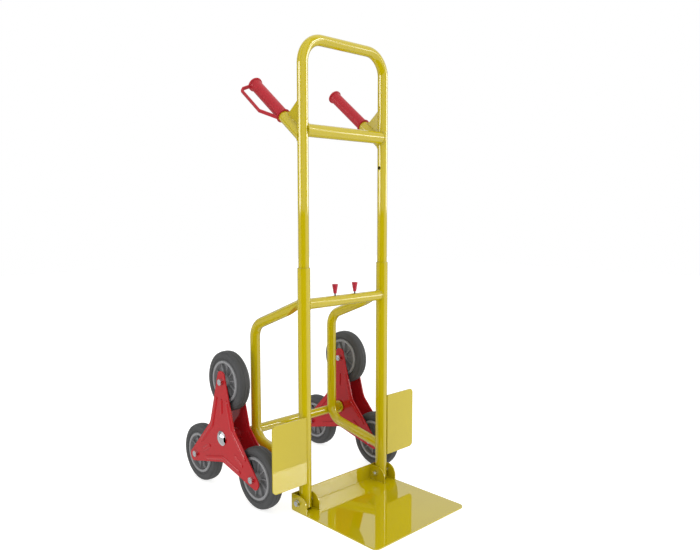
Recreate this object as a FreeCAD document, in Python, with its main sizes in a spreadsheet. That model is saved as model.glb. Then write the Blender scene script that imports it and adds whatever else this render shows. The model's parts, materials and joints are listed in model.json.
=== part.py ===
import FreeCAD, Part
import Sketcher
import math, os
from FreeCAD import Vector as V, Placement, Rotation

os.makedirs("parts", exist_ok=True)
doc = FreeCAD.newDocument("StairTrolley")

# ---------------------------------------------------------------- dimensions
# Millimetres. Origin: on the floor, midway between the two uprights in X and
# midway between the toe plate's front edge and the rear wheel in Y.
# +X to the right of a person facing the toe plate side from behind, -Y towards
# the toe plate, +Z up.
sheet = doc.addObject("Spreadsheet::Sheet", "Params")
VALUES = [
    ("MastY", -80.7), ("MastHalf", 140.5),
    ("OuterDia", 32.0), ("OuterBore", 29.0), ("OuterTop", 620.0),
    ("MastDia", 27.0), ("MastBore", 24.0), ("MastTop", 1173.5), ("MastFoot", 400.0), ("MastBend", 60.0),
    ("BarDia", 27.0), ("BarBore", 24.0), ("BarZ", 529.0),
    ("HandleDia", 29.0), ("HandleBore", 25.0), ("HandleY", 30.9), ("HandleZ", 961.0),
    ("HandleTilt", 38.2), ("HandleReach", 201.0), ("RungDia", 32.0), ("RungBore", 28.0), ("RungZ", 955.0),
    ("LoopDia", 27.0), ("LoopBore", 23.6), ("LoopBack", 206.3), ("LoopBend", 47.0),
    ("AxleY", 223.1), ("AxleZ", 156.45), ("AxleTubeDia", 25.0), ("AxleTubeBore", 20.0), ("AxleDia", 16.0),
    ("AxleTubeHalf", 182.0), ("AxleHalf", 247.0),
    ("ClusterArm", 152.9), ("PlateThk", 3.0), ("OuterPlateX", 238.2), ("InnerPlateX", 192.4),
    ("WheelX", 215.3), ("WheelDia", 160.0), ("WheelWidth", 31.6), ("RimDia", 112.0),
    ("SleeveDia", 14.0), ("HubBore", 14.1), ("HubLength", 44.6),
    ("ToeHalf", 165.5), ("ToeFront", 274.0), ("ToeBack", 24.6), ("ToeThk", 3.0), ("ToeFlange", 43.6), ("ToeCorner", 16.0),
    ("HingeZ", 24.6), ("EarThk", 3.0), ("EarFront", 33.0), ("EarTop", 44.0), ("EarRound", 28.0),
    ("EarOuterX", 162.5), ("EarInnerX", 119.5),
    ("WingIn", 148.9), ("WingOut", 255.9), ("WingLow", 75.8), ("WingHigh", 246.7), ("WingBack", 13.6), ("WingThk", 3.0), ("WingCorner", 12.0),
    ("KnobX", 35.5), ("LockTravel", 12.0), ("LockHoleZ", 875.0),
    ("BoltDia", 8.0), ("HexAcross", 13.0), ("WheelBoltDia", 10.0), ("WheelHexAcross", 16.0),
]
for row, (alias, value) in enumerate(VALUES, start=1):
    sheet.set("A%d" % row, alias)
    sheet.set("B%d" % row, str(value))
    sheet.setAlias("B%d" % row, alias)
doc.recompute()


def p(alias):
    return float(sheet.get(alias))


def bind(obj, prop, expr):
    obj.setExpression(prop, expr)


S = "Params."
NODES = []          # (document object, node name)


def node(obj, name):
    obj.Label = name
    NODES.append((obj, name))
    return obj


# ---------------------------------------------------------------- primitives
def rot_to(axis):
    return Rotation(V(0, 0, 1), V(*axis))


def cylinder(name, radius, height, base, axis=(0, 0, 1)):
    """radius, height and the three base coordinates are expressions."""
    c = doc.addObject("Part::Cylinder", name)
    c.Placement = Placement(V(0, 0, 0), rot_to(axis))
    bind(c, "Radius", radius)
    bind(c, "Height", height)
    for k, e in zip("xyz", base):
        bind(c, "Placement.Base.%s" % k, e)
    return c


def box(name, size, base):
    b = doc.addObject("Part::Box", name)
    for k, e in zip(("Length", "Width", "Height"), size):
        bind(b, k, e)
    for k, e in zip("xyz", base):
        bind(b, "Placement.Base.%s" % k, e)
    return b


def cut(name, base, tool):
    c = doc.addObject("Part::Cut", name)
    c.Base, c.Tool = base, tool
    return c


def fuse(name, shapes):
    f = doc.addObject("Part::MultiFuse", name)
    f.Shapes = shapes
    return f


def compound(name, shapes):
    f = doc.addObject("Part::Compound", name)
    f.Links = shapes
    return f


# ---------------------------------------------------------------- sketch kit
def new_body(name, placement=None):
    b = doc.addObject("PartDesign::Body", name)
    if placement is not None:
        b.Placement = placement
    return b


def sketch(body, name, role, offset=(0, 0, 0)):
    sk = body.newObject("Sketcher::SketchObject", name)
    plane = [o for o in body.Origin.OriginFeatures if o.Role == role][0]
    sk.AttachmentSupport = [(plane, "")]
    sk.MapMode = "FlatFace"
    sk.AttachmentOffset = Placement(V(*offset), Rotation())
    return sk


def poly_arcs(sk, pts, closed=True):
    """Outline through points (x, y, corner radius), corners rounded by tangent arcs."""
    n = len(pts)
    segs = []
    P = [V(q[0], q[1], 0) for q in pts]
    start, end = [None] * n, [None] * n
    arcs = [None] * n
    for i in range(n):
        r = pts[i][2]
        if (not closed and i in (0, n - 1)) or r <= 0:
            start[i] = end[i] = P[i]
            continue
        a, b, c = P[i - 1], P[i], P[(i + 1) % n]
        d1, d2 = (a - b).normalize(), (c - b).normalize()
        ang = d1.getAngle(d2)
        tl = r / math.tan(ang / 2)
        s, e = b + d1 * tl, b + d2 * tl
        mid = (d1 + d2).normalize()
        ctr = b + mid * (r / math.sin(ang / 2))
        m = ctr - mid * r
        start[i], end[i] = s, e
        arcs[i] = (s, m, e)
    count = n if closed else n - 1
    for i in range(n):
        if arcs[i]:
            segs.append(Part.Arc(*arcs[i]))
        if i < count:
            j = (i + 1) % n
            if (end[i] - start[j]).Length > 1e-6:
                segs.append(Part.LineSegment(end[i], start[j]))
    sk.addGeometry(segs, False)
    return segs


def circle(sk, x, y, radius_expr):
    i = sk.addGeometry(Part.Circle(V(x, y, 0), V(0, 0, 1), 1.0), False)
    k = sk.addConstraint(Sketcher.Constraint("Radius", i, 1.0))
    sk.renameConstraint(k, "Radius%d" % i)
    sk.setExpression("Constraints.Radius%d" % i, radius_expr)
    return i


def pad(body, sk, length_expr, name="Pad", symmetric=False, reverse=False):
    f = body.newObject("PartDesign::Pad", name)
    f.Profile = sk
    bind(f, "Length", length_expr)
    f.Midplane = symmetric
    f.Reversed = reverse
    sk.Visibility = False
    return f


def pocket(body, sk, length_expr, name="Pocket", reverse=False, through=False):
    f = body.newObject("PartDesign::Pocket", name)
    f.Profile = sk
    if through:
        f.Type = "ThroughAll"
        f.Midplane = True
    else:
        bind(f, "Length", length_expr)
    f.Reversed = reverse
    return f


def revolve(body, sk, name="Revolution"):
    f = body.newObject("PartDesign::Revolution", name)
    f.Profile = sk
    f.ReferenceAxis = (sk, ["V_Axis"])
    f.Angle = 360.0
    return f


def pipe(name, plane, pts, radius_expr, placement, profile_role, profile_offset, profile_centre):
    """A round rod swept along a planar route; hollow tubes subtract a thinner one."""
    b = new_body(name, placement)
    path = sketch(b, name + "Path", plane)
    segs = poly_arcs(path, pts, closed=False)
    prof = sketch(b, name + "Profile", profile_role, profile_offset)
    circle(prof, profile_centre[0], profile_centre[1], radius_expr)
    doc.recompute()
    f = b.newObject("PartDesign::AdditivePipe", name + "Pipe")
    f.Profile = prof
    f.Spine = (path, ["Edge%d" % (k + 1) for k in range(len(segs))])
    f.Mode = "Frenet"
    f.Transition = "Transformed"
    doc.recompute()
    return b


SIDES = ((-1, "left"), (1, "right"))
Y0, W = p("MastY"), p("MastHalf")


def sx(s, expr):
    """expression for a mirrored x coordinate"""
    return ("-(%s)" % expr) if s < 0 else "(%s)" % expr


# ================================================================ frame: tubes
for s, side in SIDES:
    tag = side.capitalize()
    x = sx(s, S + "MastHalf")
    # lower (outer) upright tube with a radiused foot around the toe hinge
    o = cylinder("UprightOut" + tag, S + "OuterDia/2", S + "OuterTop - 1", (x, S + "MastY", "1"))
    i = cylinder("UprightIn" + tag, S + "OuterBore/2", S + "OuterTop + 20", (x, S + "MastY", "-10"))
    t = cut("UprightTube" + tag, o, i)
    foot = cylinder("FootRound" + tag, "21", "60", ("%s - 30" % x, S + "MastY", S + "HingeZ"), (1, 0, 0))
    keep_hi = box("FootKeep" + tag, ("60", "60", S + "OuterTop"), ("%s - 30" % x, S + "MastY - 30", S + "HingeZ"))
    mask = fuse("FootMask" + tag, [foot, keep_hi])
    com = doc.addObject("Part::Common", "UprightFoot" + tag)
    com.Base, com.Tool = t, mask
    hole = cylinder("HingeHole" + tag, S + "BoltDia/2 + 0.05", "60", ("%s - 30" % x, S + "MastY", S + "HingeZ"), (1, 0, 0))
    lock = cylinder("LockHole" + tag, "4.55", "20", (sx(s, S + "MastHalf - 22") + " - 10", S + "MastY", S + "BarZ"), (1, 0, 0))
    tools = fuse("UprightHoles" + tag, [hole, lock])
    node(cut("Upright" + tag, com, tools), "upright_tube_" + side)

    # plastic guide bush pressed into the top of the outer tube
    bo = cylinder("BushOut" + tag, S + "OuterBore/2", "30", (x, S + "MastY", S + "OuterTop - 30"))
    bi = cylinder("BushIn" + tag, S + "MastDia/2 + 0.05", "40", (x, S + "MastY", S + "OuterTop - 35"))
    node(cut("GuideBush" + tag, bo, bi), "guide_bush_" + side)

# mid crossbar: saddle-cut between the uprights, bored, with two slots on top
co = cylinder("BarOut", S + "BarDia/2", "2*" + S + "MastHalf", ("-" + S + "MastHalf", S + "MastY", S + "BarZ"), (1, 0, 0))
ci = cylinder("BarIn", S + "BarBore/2", "2*" + S + "MastHalf + 20", ("-" + S + "MastHalf - 10", S + "MastY", S + "BarZ"), (1, 0, 0))
ct = cut("BarTube", co, ci)
saddles = [cylinder("BarSaddle" + k, S + "OuterDia/2", "80", (sx(s, S + "MastHalf"), S + "MastY", S + "BarZ - 40")) for s, k in ((-1, "L"), (1, "R"))]
slots = []
for s, k in ((-1, "L"), (1, "R")):
    x0 = sx(s, S + "KnobX - %s/2" % (S + "LockTravel"))
    slots.append(box("BarSlot" + k, (S + "LockTravel + 5.4", "5", "12"), (x0 + " - (%sLockTravel + 5.4)/2" % S, S + "MastY - 2.5", S + "BarZ + 6")))
node(cut("MidCrossbar", ct, fuse("BarTools", saddles + slots)), "mid_crossbar")

# side loops: from the upright back and down to the axle, and forward again
TOPZ, TOPS = 533.0, math.tan(math.radians(21.6))
LOWZ, LOWS = 101.0, math.tan(math.radians(10.2))
lb = p("LoopBack")
loop_pts = [(6.0, TOPZ - 6.0 * TOPS, 0), (lb, TOPZ - lb * TOPS, p("LoopBend")), (lb, LOWZ + lb * LOWS, p("LoopBend")), (6.0, LOWZ + 6.0 * LOWS, 0)]
for s, side in SIDES:
    tag = side.capitalize()
    parts_ = []
    for which, dia in (("Out", "LoopDia"), ("In", "LoopBore")):
        pts = [list(q) for q in loop_pts]
        if which == "In":
            pts[0][0], pts[0][1] = 0.0, TOPZ
            pts[-1][0], pts[-1][1] = 0.0, LOWZ
        # profile at the top end, square to the first run
        pl = Placement(V(s * W, Y0, 0), Rotation())
        b = new_body("Loop%s%s" % (which, tag), pl)
        bind(b, "Placement.Base.x", sx(s, S + "MastHalf"))
        bind(b, "Placement.Base.y", S + "MastY")
        path = sketch(b, "LoopPath%s%s" % (which, tag), "YZ_Plane")
        segs = poly_arcs(path, pts, closed=False)
        prof = b.newObject("Sketcher::SketchObject", "LoopProfile%s%s" % (which, tag))
        xz = [o for o in b.Origin.OriginFeatures if o.Role == "XZ_Plane"][0]
        prof.AttachmentSupport = [(xz, "")]
        prof.MapMode = "FlatFace"
        prof.AttachmentOffset = Placement(V(0, pts[0][1], -pts[0][0]), Rotation(V(1, 0, 0), -21.6))
        circle(prof, 0, 0, S + dia + "/2")
        doc.recompute()
        f = b.newObject("PartDesign::AdditivePipe", "LoopPipe%s%s" % (which, tag))
        f.Profile = prof
        f.Spine = (path, ["Edge%d" % (k + 1) for k in range(len(segs))])
        f.Transition = "Transformed"
        doc.recompute()
        # crimp: the underside of the top end is pressed up towards the upright
        g = doc.addObject("Part::Box", "Crimp%s%s" % (which, tag))
        g.Length, g.Width, g.Height = 60, 90, 30
        lift = 1.7 if which == "In" else 0.0
        ang = 33.5
        g.Placement = Placement(V(s * W - 30, Y0 + 66.0, 492.0 + lift), Rotation(V(1, 0, 0), 180 - ang))
        parts_.append(cut("LoopCrimp%s%s" % (which, tag), b, g))
    hollow = cut("LoopHollow" + tag, parts_[0], parts_[1])
    sad = cylinder("LoopSaddle" + tag, S + "OuterDia/2", "640", (sx(s, S + "MastHalf"), S + "MastY", "0"))
    cope = cylinder("LoopCope" + tag, S + "AxleTubeDia/2", "60", (sx(s, S + "MastHalf") + " - 30", S + "MastY + " + S + "AxleY", S + "AxleZ"), (1, 0, 0))
    bar = cylinder("LoopBarTrim" + tag, S + "BarDia/2", "25", (str(W - 25 if s > 0 else -W), S + "MastY", S + "BarZ"), (1, 0, 0))
    node(cut("SideLoop" + tag, hollow, fuse("LoopTools" + tag, [sad, cope, bar])), "side_loop_" + side)

# axle: cross tube, shaft, welded collars, thrust washers, domed end caps
AY = S + "MastY + " + S + "AxleY"
to = cylinder("AxleTubeOut", S + "AxleTubeDia/2", "2*" + S + "AxleTubeHalf", ("-" + S + "AxleTubeHalf", AY, S + "AxleZ"), (1, 0, 0))
ti = cylinder("AxleTubeIn", S + "AxleTubeBore/2", "2*" + S + "AxleTubeHalf + 20", ("-" + S + "AxleTubeHalf - 10", AY, S + "AxleZ"), (1, 0, 0))
node(cut("AxleTube", to, ti), "axle_cross_tube")
shaft = cylinder("AxleShaftRod", S + "AxleDia/2", "2*" + S + "AxleHalf", ("-" + S + "AxleHalf", AY, S + "AxleZ"), (1, 0, 0))
node(shaft, "axle_shaft")
collars, thrusts = [], []
for s, k in ((-1, "L"), (1, "R")):
    mid = sx(s, S + "AxleTubeHalf + 2.6")
    a = cylinder("Collar" + k, "18.5", "5.2", (mid + " - 2.6", AY, S + "AxleZ"), (1, 0, 0))
    b = cylinder("CollarBore" + k, S + "AxleDia/2", "20", (mid + " - 10", AY, S + "AxleZ"), (1, 0, 0))
    c = cut("CollarRing" + k, a, b)
    fl = doc.addObject("Part::Fillet", "CollarSoft" + k)
    doc.recompute()
    fl.Base = c
    fl.Edges = [(n + 1, 1.4, 1.4) for n, e in enumerate(c.Shape.Edges) if abs(e.Length - 2 * math.pi * 18.5) < 0.1]
    collars.append(fl)
    mid = sx(s, S + "AxleTubeHalf + 6.2")
    a = cylinder("Thrust" + k, "13", "2", (mid + " - 1", AY, S + "AxleZ"), (1, 0, 0))
    b = cylinder("ThrustBore" + k, S + "AxleDia/2", "20", (mid + " - 10", AY, S + "AxleZ"), (1, 0, 0))
    thrusts.append(cut("ThrustRing" + k, a, b))
node(compound("AxleCollars", collars), "axle_collars")
node(compound("ThrustWashers", thrusts), "thrust_washers")
for s, side in SIDES:
    tag = side.capitalize()
    # domed push-on cap: a 1.8 mm rim under a shallow spherical dome, bored for the shaft
    dome_r = (20.0 ** 2 + 7.0 ** 2) / (2 * 7.0)
    x0 = 241.6
    drum = cylinder("CapDrum" + tag, "20", "9", (str(x0 if s > 0 else -x0 - 9), AY, S + "AxleZ"), (1, 0, 0))
    ball = doc.addObject("Part::Sphere", "CapDome" + tag)
    ball.Radius = dome_r
    ball.Placement = Placement(V(s * (x0 + 8.8 - dome_r), 0, 0), rot_to((s, 0, 0)))
    bind(ball, "Placement.Base.y", AY)
    bind(ball, "Placement.Base.z", S + "AxleZ")
    shell = doc.addObject("Part::Common", "CapShell" + tag)
    shell.Base, shell.Tool = drum, ball
    seat = cylinder("CapSeat" + tag, S + "AxleDia/2", "30", (str(x0 + 5.4 - 30 if s > 0 else -x0 - 5.4), AY, S + "AxleZ"), (1, 0, 0))
    node(cut("HubCap" + tag, shell, seat), "hub_cap_" + side)

# ================================================================ wings
for s, side in SIDES:
    tag = side.capitalize()
    # local x outwards, local y up, pad towards the front (-Y)
    b = new_body("Wing" + tag)
    sk = sketch(b, "WingOutline" + tag, "XZ_Plane")
    xi, xo, zl, zh, r = s * p("WingIn"), s * p("WingOut"), p("WingLow"), p("WingHigh"), p("WingCorner")
    poly_arcs(sk, [(xi, zl, 0), (xo, zl, r), (xo, zh, r), (xi, zh, 0)])
    f = pad(b, sk, S + "WingThk", "WingPad" + tag)
    bind(b, "Placement.Base.y", S + "MastY - " + S + "WingBack")
    doc.recompute()
    node(b, "wing_plate_" + side)

# ================================================================ toe plate
b = new_body("ToePlate")
bind(b, "Placement.Base.y", S + "MastY")
sk = sketch(b, "ToeSection", "YZ_Plane")
t, yb, yf, zf = p("ToeThk"), p("ToeBack"), -p("ToeFront"), p("ToeFlange")
poly_arcs(sk, [(yf, 0, 0), (yb, 0, 4.0), (yb, zf, 0), (yb - t, zf, 0), (yb - t, t, 1.0), (yf, t, 0)])
f = pad(b, sk, "2*" + S + "ToeHalf", "ToePad", symmetric=True)
doc.recompute()
edges = ["Edge%d" % (n + 1) for n, e in enumerate(f.Shape.Edges)
         if len(e.Vertexes) == 2 and all(abs(v.Y - yf) < 1e-3 for v in e.Vertexes) and abs(e.Vertexes[0].Z - e.Vertexes[1].Z) > 1]
fl = b.newObject("PartDesign::Fillet", "ToeCorners")
fl.Base = (f, edges)
bind(fl, "Radius", S + "ToeCorner")
doc.recompute()
# the load area in front of the hinge ears is a face of its own
lead = box("ToeLoadArea", ("2*" + S + "ToeHalf + 20", S + "ToeFront - 40", "20"), ("-" + S + "ToeHalf - 10", S + "MastY - " + S + "ToeFront", "-5"))
front = doc.addObject("Part::Common", "ToeLoadPart")
front.Base, front.Tool = b, lead
rear = cut("ToeHeelPart", b, lead)
whole = fuse("ToePlateWhole", [front, rear])
whole.Refine = False
node(whole, "toe_plate")

ears = []
for s, side in SIDES:
    for which in ("Outer", "Inner"):
        tag = which + side.capitalize()
        b = new_body("Ear" + tag)
        sk = sketch(b, "EarOutline" + tag, "YZ_Plane")
        poly_arcs(sk, [(-p("EarFront"), t, 0), (yb - t, t, 0), (yb - t, p("EarTop"), 4.0), (-p("EarFront"), p("EarTop"), p("EarRound"))])
        circle(sk, 0, p("HingeZ"), S + "BoltDia/2 + 0.05")
        pad(b, sk, S + "EarThk", "EarPad" + tag)
        bind(b, "Placement.Base.y", S + "MastY")
        xe = S + "Ear%sX" % which
        bind(b, "Placement.Base.x", (xe if s > 0 else "-(%s) - %sEarThk" % (xe, S)))
        ears.append(b)
node(compound("ToeEars", ears), "toe_hinge_ears")


# ================================================================ fasteners
def hex_prism(name, across_expr, height_expr, base, axis=(1, 0, 0)):
    h = doc.addObject("Part::Prism", name)
    h.Polygon = 6
    bind(h, "Circumradius", "(%s)/sqrt(3)" % across_expr)
    bind(h, "Height", height_expr)
    h.Placement = Placement(V(0, 0, 0), rot_to(axis))
    for k, e in zip("xyz", base):
        bind(h, "Placement.Base.%s" % k, e)
    return h


def hex_head(name, s, x_face, height, y, z, alias="HexAcross"):
    """Hex head or nut with turned chamfer: prism common with a cone-ended drum.
    x_face is the seat, s the direction it stands out in."""
    across = p(alias)
    h = hex_prism(name + "Hex", S + alias, str(height), (str(x_face), y, z), (s, 0, 0))
    c = doc.addObject("Part::Cone", name + "Turn")
    c.Radius1, c.Radius2, c.Height = across / math.sqrt(3) + height * 1.6 - 0.75, across / math.sqrt(3) - 0.75, height
    c.Placement = Placement(V(0, 0, 0), rot_to((s, 0, 0)))
    for k, e in zip("xyz", (str(x_face), y, z)):
        bind(c, "Placement.Base.%s" % k, e)
    m = doc.addObject("Part::Common", name)
    m.Base, m.Tool = h, c
    return m


bolts, nuts, washers = [], [], []
HZ, MY = S + "HingeZ", S + "MastY"
for s, k in ((-1, "L"), (1, "R")):
    xo = p("EarOuterX") + p("EarThk")
    xi = p("EarInnerX")
    head = hex_head("ToeBoltHead" + k, s, s * (xo + 1.8), 5.3, MY, HZ)
    x_in, x_out = xi - 9.5, xo + 1.8
    sh = cylinder("ToeBoltShank" + k, S + "BoltDia/2", str(x_out - x_in), (str(x_in if s > 0 else -x_out), MY, HZ), (1, 0, 0))
    bolts.append(fuse("ToeBolt" + k, [head, sh]))
    nb = hex_head("ToeNutHex" + k, -s, s * (xi - 0.2), 6.5, MY, HZ)
    nc = cylinder("ToeNutBore" + k, S + "BoltDia/2", "20", (str(s * (xi - 4) - 10), MY, HZ), (1, 0, 0))
    nuts.append(cut("ToeNut" + k, nb, nc))
    for j, (xa, xb, r) in enumerate(((xo + 0.2, xo + 1.8, 8.0), (156.5, p("EarOuterX") - 0.2, 7.0), (p("EarInnerX") + p("EarThk") + 0.2, 124.5, 7.0))):
        wa = cylinder("ToeWasher%s%d" % (k, j), str(r), str(xb - xa), (str(xa if s > 0 else -xb), MY, HZ), (1, 0, 0))
        wb = cylinder("ToeWasherBore%s%d" % (k, j), S + "BoltDia/2", "40", (str(s * (xa + xb) / 2 - 20), MY, HZ), (1, 0, 0))
        washers.append(cut("ToeWasherRing%s%d" % (k, j), wa, wb))
node(compound("ToeBolts", bolts), "toe_hinge_bolts")
node(compound("ToeNuts", nuts), "toe_hinge_nuts")
node(compound("ToeWashers", washers), "toe_hinge_washers")

# ================================================================ sliding mast
mw, mt, mf, mb = W, p("MastTop"), p("MastFoot"), p("MastBend")
halves = []
for which, dia, extra in (("Out", "MastDia", 0.0), ("In", "MastBore", 10.0)):
    bm = pipe("Mast" + which, "XZ_Plane",
              [(-mw, mf - extra, 0), (-mw, mt, mb), (mw, mt, mb), (mw, mf - extra, 0)],
              S + dia + "/2", Placement(), "XY_Plane", (0, 0, mf - extra), (-mw, 0))
    bind(bm, "Placement.Base.y", MY)
    halves.append(bm)
mast = cut("MastHollow", halves[0], halves[1])
hole_tools = []
for s, k in ((-1, "L"), (1, "R")):
    for j, z in enumerate(("BarZ", "LockHoleZ")):
        hole_tools.append(cylinder("MastHole%s%d" % (k, j), "5", "10", (str(s * (W - 13.5) - 5), MY, S + z), (1, 0, 0)))
node(cut("MastTube", mast, fuse("MastHoles", hole_tools)), "sliding_mast")

plugs = []
for s, k in ((-1, "L"), (1, "R")):
    x = sx(s, S + "MastHalf")
    a = cylinder("PlugFoot" + k, S + "OuterBore/2 - 0.05", "6", (x, MY, S + "MastFoot - 6"))
    c = cylinder("PlugStem" + k, S + "MastBore/2", "18", (x, MY, S + "MastFoot - 1"))
    d = cylinder("PlugBore" + k, "7", "40", (x, MY, S + "MastFoot - 10"))
    plugs.append(cut("Plug" + k, fuse("PlugSolid" + k, [a, c]), d))
node(compound("MastPlugs", plugs), "mast_end_plugs")

# handle legs: straight tubes that lean back and up from the back of the mast
tilt = p("HandleTilt")
reach = p("HandleReach")
legs, leg_blocks = [], []
for s, k in ((-1, "L"), (1, "R")):
    pair = []
    for which, dia, extra in (("Out", "HandleDia", 0.0), ("In", "HandleBore", 5.0)):
        c = doc.addObject("Part::Cylinder", "Leg" + which + k)
        bind(c, "Radius", S + dia + "/2")
        bind(c, "Height", S + "HandleReach + 60 + 2*%s" % extra)
        start = -60.0 - extra
        c.Placement = Placement(V(s * W, Y0 + p("HandleY") + start * math.cos(math.radians(tilt)), p("HandleZ") + start * math.sin(math.radians(tilt))), Rotation(V(1, 0, 0), tilt - 90))
        pair.append(c)
    saddle = cylinder("LegSaddle" + k, S + "MastDia/2", "200", (sx(s, S + "MastHalf"), MY, "850"))
    ahead = box("LegAhead" + k, ("60", "80", "200"), (sx(s, S + "MastHalf") + " - 30", MY + " - 76", "850"))
    tools = fuse("LegTools" + k, [saddle, ahead])
    legs.append(cut("HandleLeg" + k, cut("LegTube" + k, pair[0], pair[1]), tools))
    leg_blocks.append(cut("LegBlock" + k, pair[0], tools))
node(compound("HandleLegs", legs), "handle_tubes")

# rung between the mast legs, its ends saddled to them and trimmed by the handle legs
rung = cylinder("RungOut", S + "RungDia/2", "2*" + S + "MastHalf - 16", ("-" + S + "MastHalf + 8", MY, S + "RungZ"), (1, 0, 0))
rung_in = cylinder("RungIn", S + "RungBore/2", "2*" + S + "MastHalf + 20", ("-" + S + "MastHalf - 10", MY, S + "RungZ"), (1, 0, 0))
rung_saddles = [cylinder("RungSaddle" + k, S + "MastDia/2", "80", (sx(s, S + "MastHalf"), MY, S + "RungZ - 40")) for s, k in ((-1, "L"), (1, "R"))]
rung_tube = cut("RungSaddled", cut("RungTube", rung, rung_in), fuse("RungTools", rung_saddles))
node(cut("HandleRung", cut("RungTrimLeft", rung_tube, leg_blocks[0]), leg_blocks[1]), "handle_rung")

# gussets between the mast and the handle legs
gus = []
th = math.radians(tilt)
for s, k in ((-1, "L"), (1, "R")):
    b = new_body("Gusset" + k)
    sk = sketch(b, "GussetOutline" + k, "YZ_Plane")
    poly_arcs(sk, [(12.0, 951.0, 0), (40.0, 972.0, 0), (56.0, 1001.5, 0), (47.0, 1003.0, 2.0), (12.0, 1031.0, 0)])
    pad(b, sk, "4", "GussetPad" + k, symmetric=True)
    bind(b, "Placement.Base.x", sx(s, S + "MastHalf"))
    bind(b, "Placement.Base.y", MY)
    c1 = cylinder("GussetTrimMast" + k, S + "MastDia/2", "160", (sx(s, S + "MastHalf"), MY, "900"))
    c2 = doc.addObject("Part::Cylinder", "GussetTrimHandle" + k)
    bind(c2, "Radius", S + "HandleDia/2")
    c2.Height = 280
    c2.Placement = Placement(V(s * W, Y0 + p("HandleY") - 60 * math.cos(th), p("HandleZ") - 60 * math.sin(th)), Rotation(V(1, 0, 0), tilt - 90))
    gus.append(cut("GussetPlate" + k, b, fuse("GussetTools" + k, [c1, c2])))
node(compound("HandleGussets", gus), "handle_gussets")

# grips: flanged sleeve with closed end and a knuckle guard moulded on
GA = math.radians(26.0)
for s, side in SIDES:
    tag = side.capitalize()
    leg = Placement(V(s * W, Y0 + p("HandleY"), p("HandleZ")), Rotation(V(1, 0, 0), tilt))
    b = new_body("GripSleeve" + tag, leg)
    sk = sketch(b, "GripSection" + tag, "XY_Plane")
    ri, ro, rf = p("HandleDia") / 2, 15.7, 19.3
    r0, r1 = 53.0, 205.5
    prof = [(ri, r0, 0), (rf - 1.0, r0, 1.2), (rf, r0 + 1.6, 1.0), (rf - 0.6, r0 + 3.6, 0.8), (ro + 0.6, r0 + 4.4, 2.0), (ro, r0 + 10.0, 4.0),
            (ro, 190.0, 4.0), (ro + 0.6, 198.0, 1.0), (rf, 199.6, 1.2), (rf, r1 - 1.8, 1.6), (12.0, r1, 5.0), (0, r1 + 0.3, 0), (0, 201.0, 0), (ri, 201.0, 0)]
    poly_arcs(sk, prof)
    revolve(b, sk, "GripTurn" + tag)
    # guard bar: outline in the plane through the grip axis, turned 26 deg below level
    g = new_body("GripGuard" + tag, leg * Placement(V(0, 0, 0), Rotation(V(0, 1, 0), math.degrees(GA) * s)))
    sk = sketch(g, "GuardOutline" + tag, "XY_Plane")
    hw = 2.8
    line = [(15.9, 202.5 - 1.0), (35.5, 200.5), (43.0, 193.0), (43.0, 101.0), (16.0, 56.2)]
    n = len(line)
    up, dn = [], []
    for i, q in enumerate(line):
        a = V(*line[max(i - 1, 0)], 0)
        c = V(*q, 0)
        d = V(*line[min(i + 1, n - 1)], 0)
        d1 = (c - a).normalize() if i > 0 else (d - c).normalize()
        d2 = (d - c).normalize() if i < n - 1 else d1
        bis = (d1 + d2).normalize()
        nn = V(-bis.y, bis.x, 0) * (hw / max(0.3, bis.dot(d1)))
        up.append(c + nn)
        dn.append(c - nn)
    ring = [(v.x * s, v.y, 3.0 if 0 < i < n - 1 else 0) for i, v in enumerate(up)] + [(v.x * s, v.y, 2.0 if 0 < n - 1 - i < n - 1 else 0) for i, v in enumerate(reversed(dn))]
    poly_arcs(sk, ring)
    pd = pad(g, sk, "8.5", "GuardPad" + tag, symmetric=True)
    doc.recompute()
    es = ["Edge%d" % (i + 1) for i, e in enumerate(pd.Shape.Edges)
          if len(e.Vertexes) == 2 and all(abs(abs(g.Placement.inverse().multVec(pd.Placement.multVec(V(0, 0, 0)) * 0 + v.Point).z) - 4.25) < 1e-3 or abs(abs(v.Point.z) - 4.25) < 1e-3 for v in e.Vertexes)
          and e.Length > 3.0 and abs(e.Vertexes[0].Point.z - e.Vertexes[1].Point.z) < 1e-3]
    ff = g.newObject("PartDesign::Fillet", "GuardSoft" + tag)
    ff.Base = (pd, es)
    ff.Radius = 1.3
    doc.recompute()
    node(fuse("Grip" + tag, [b, g]), "grip_" + side)

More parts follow.
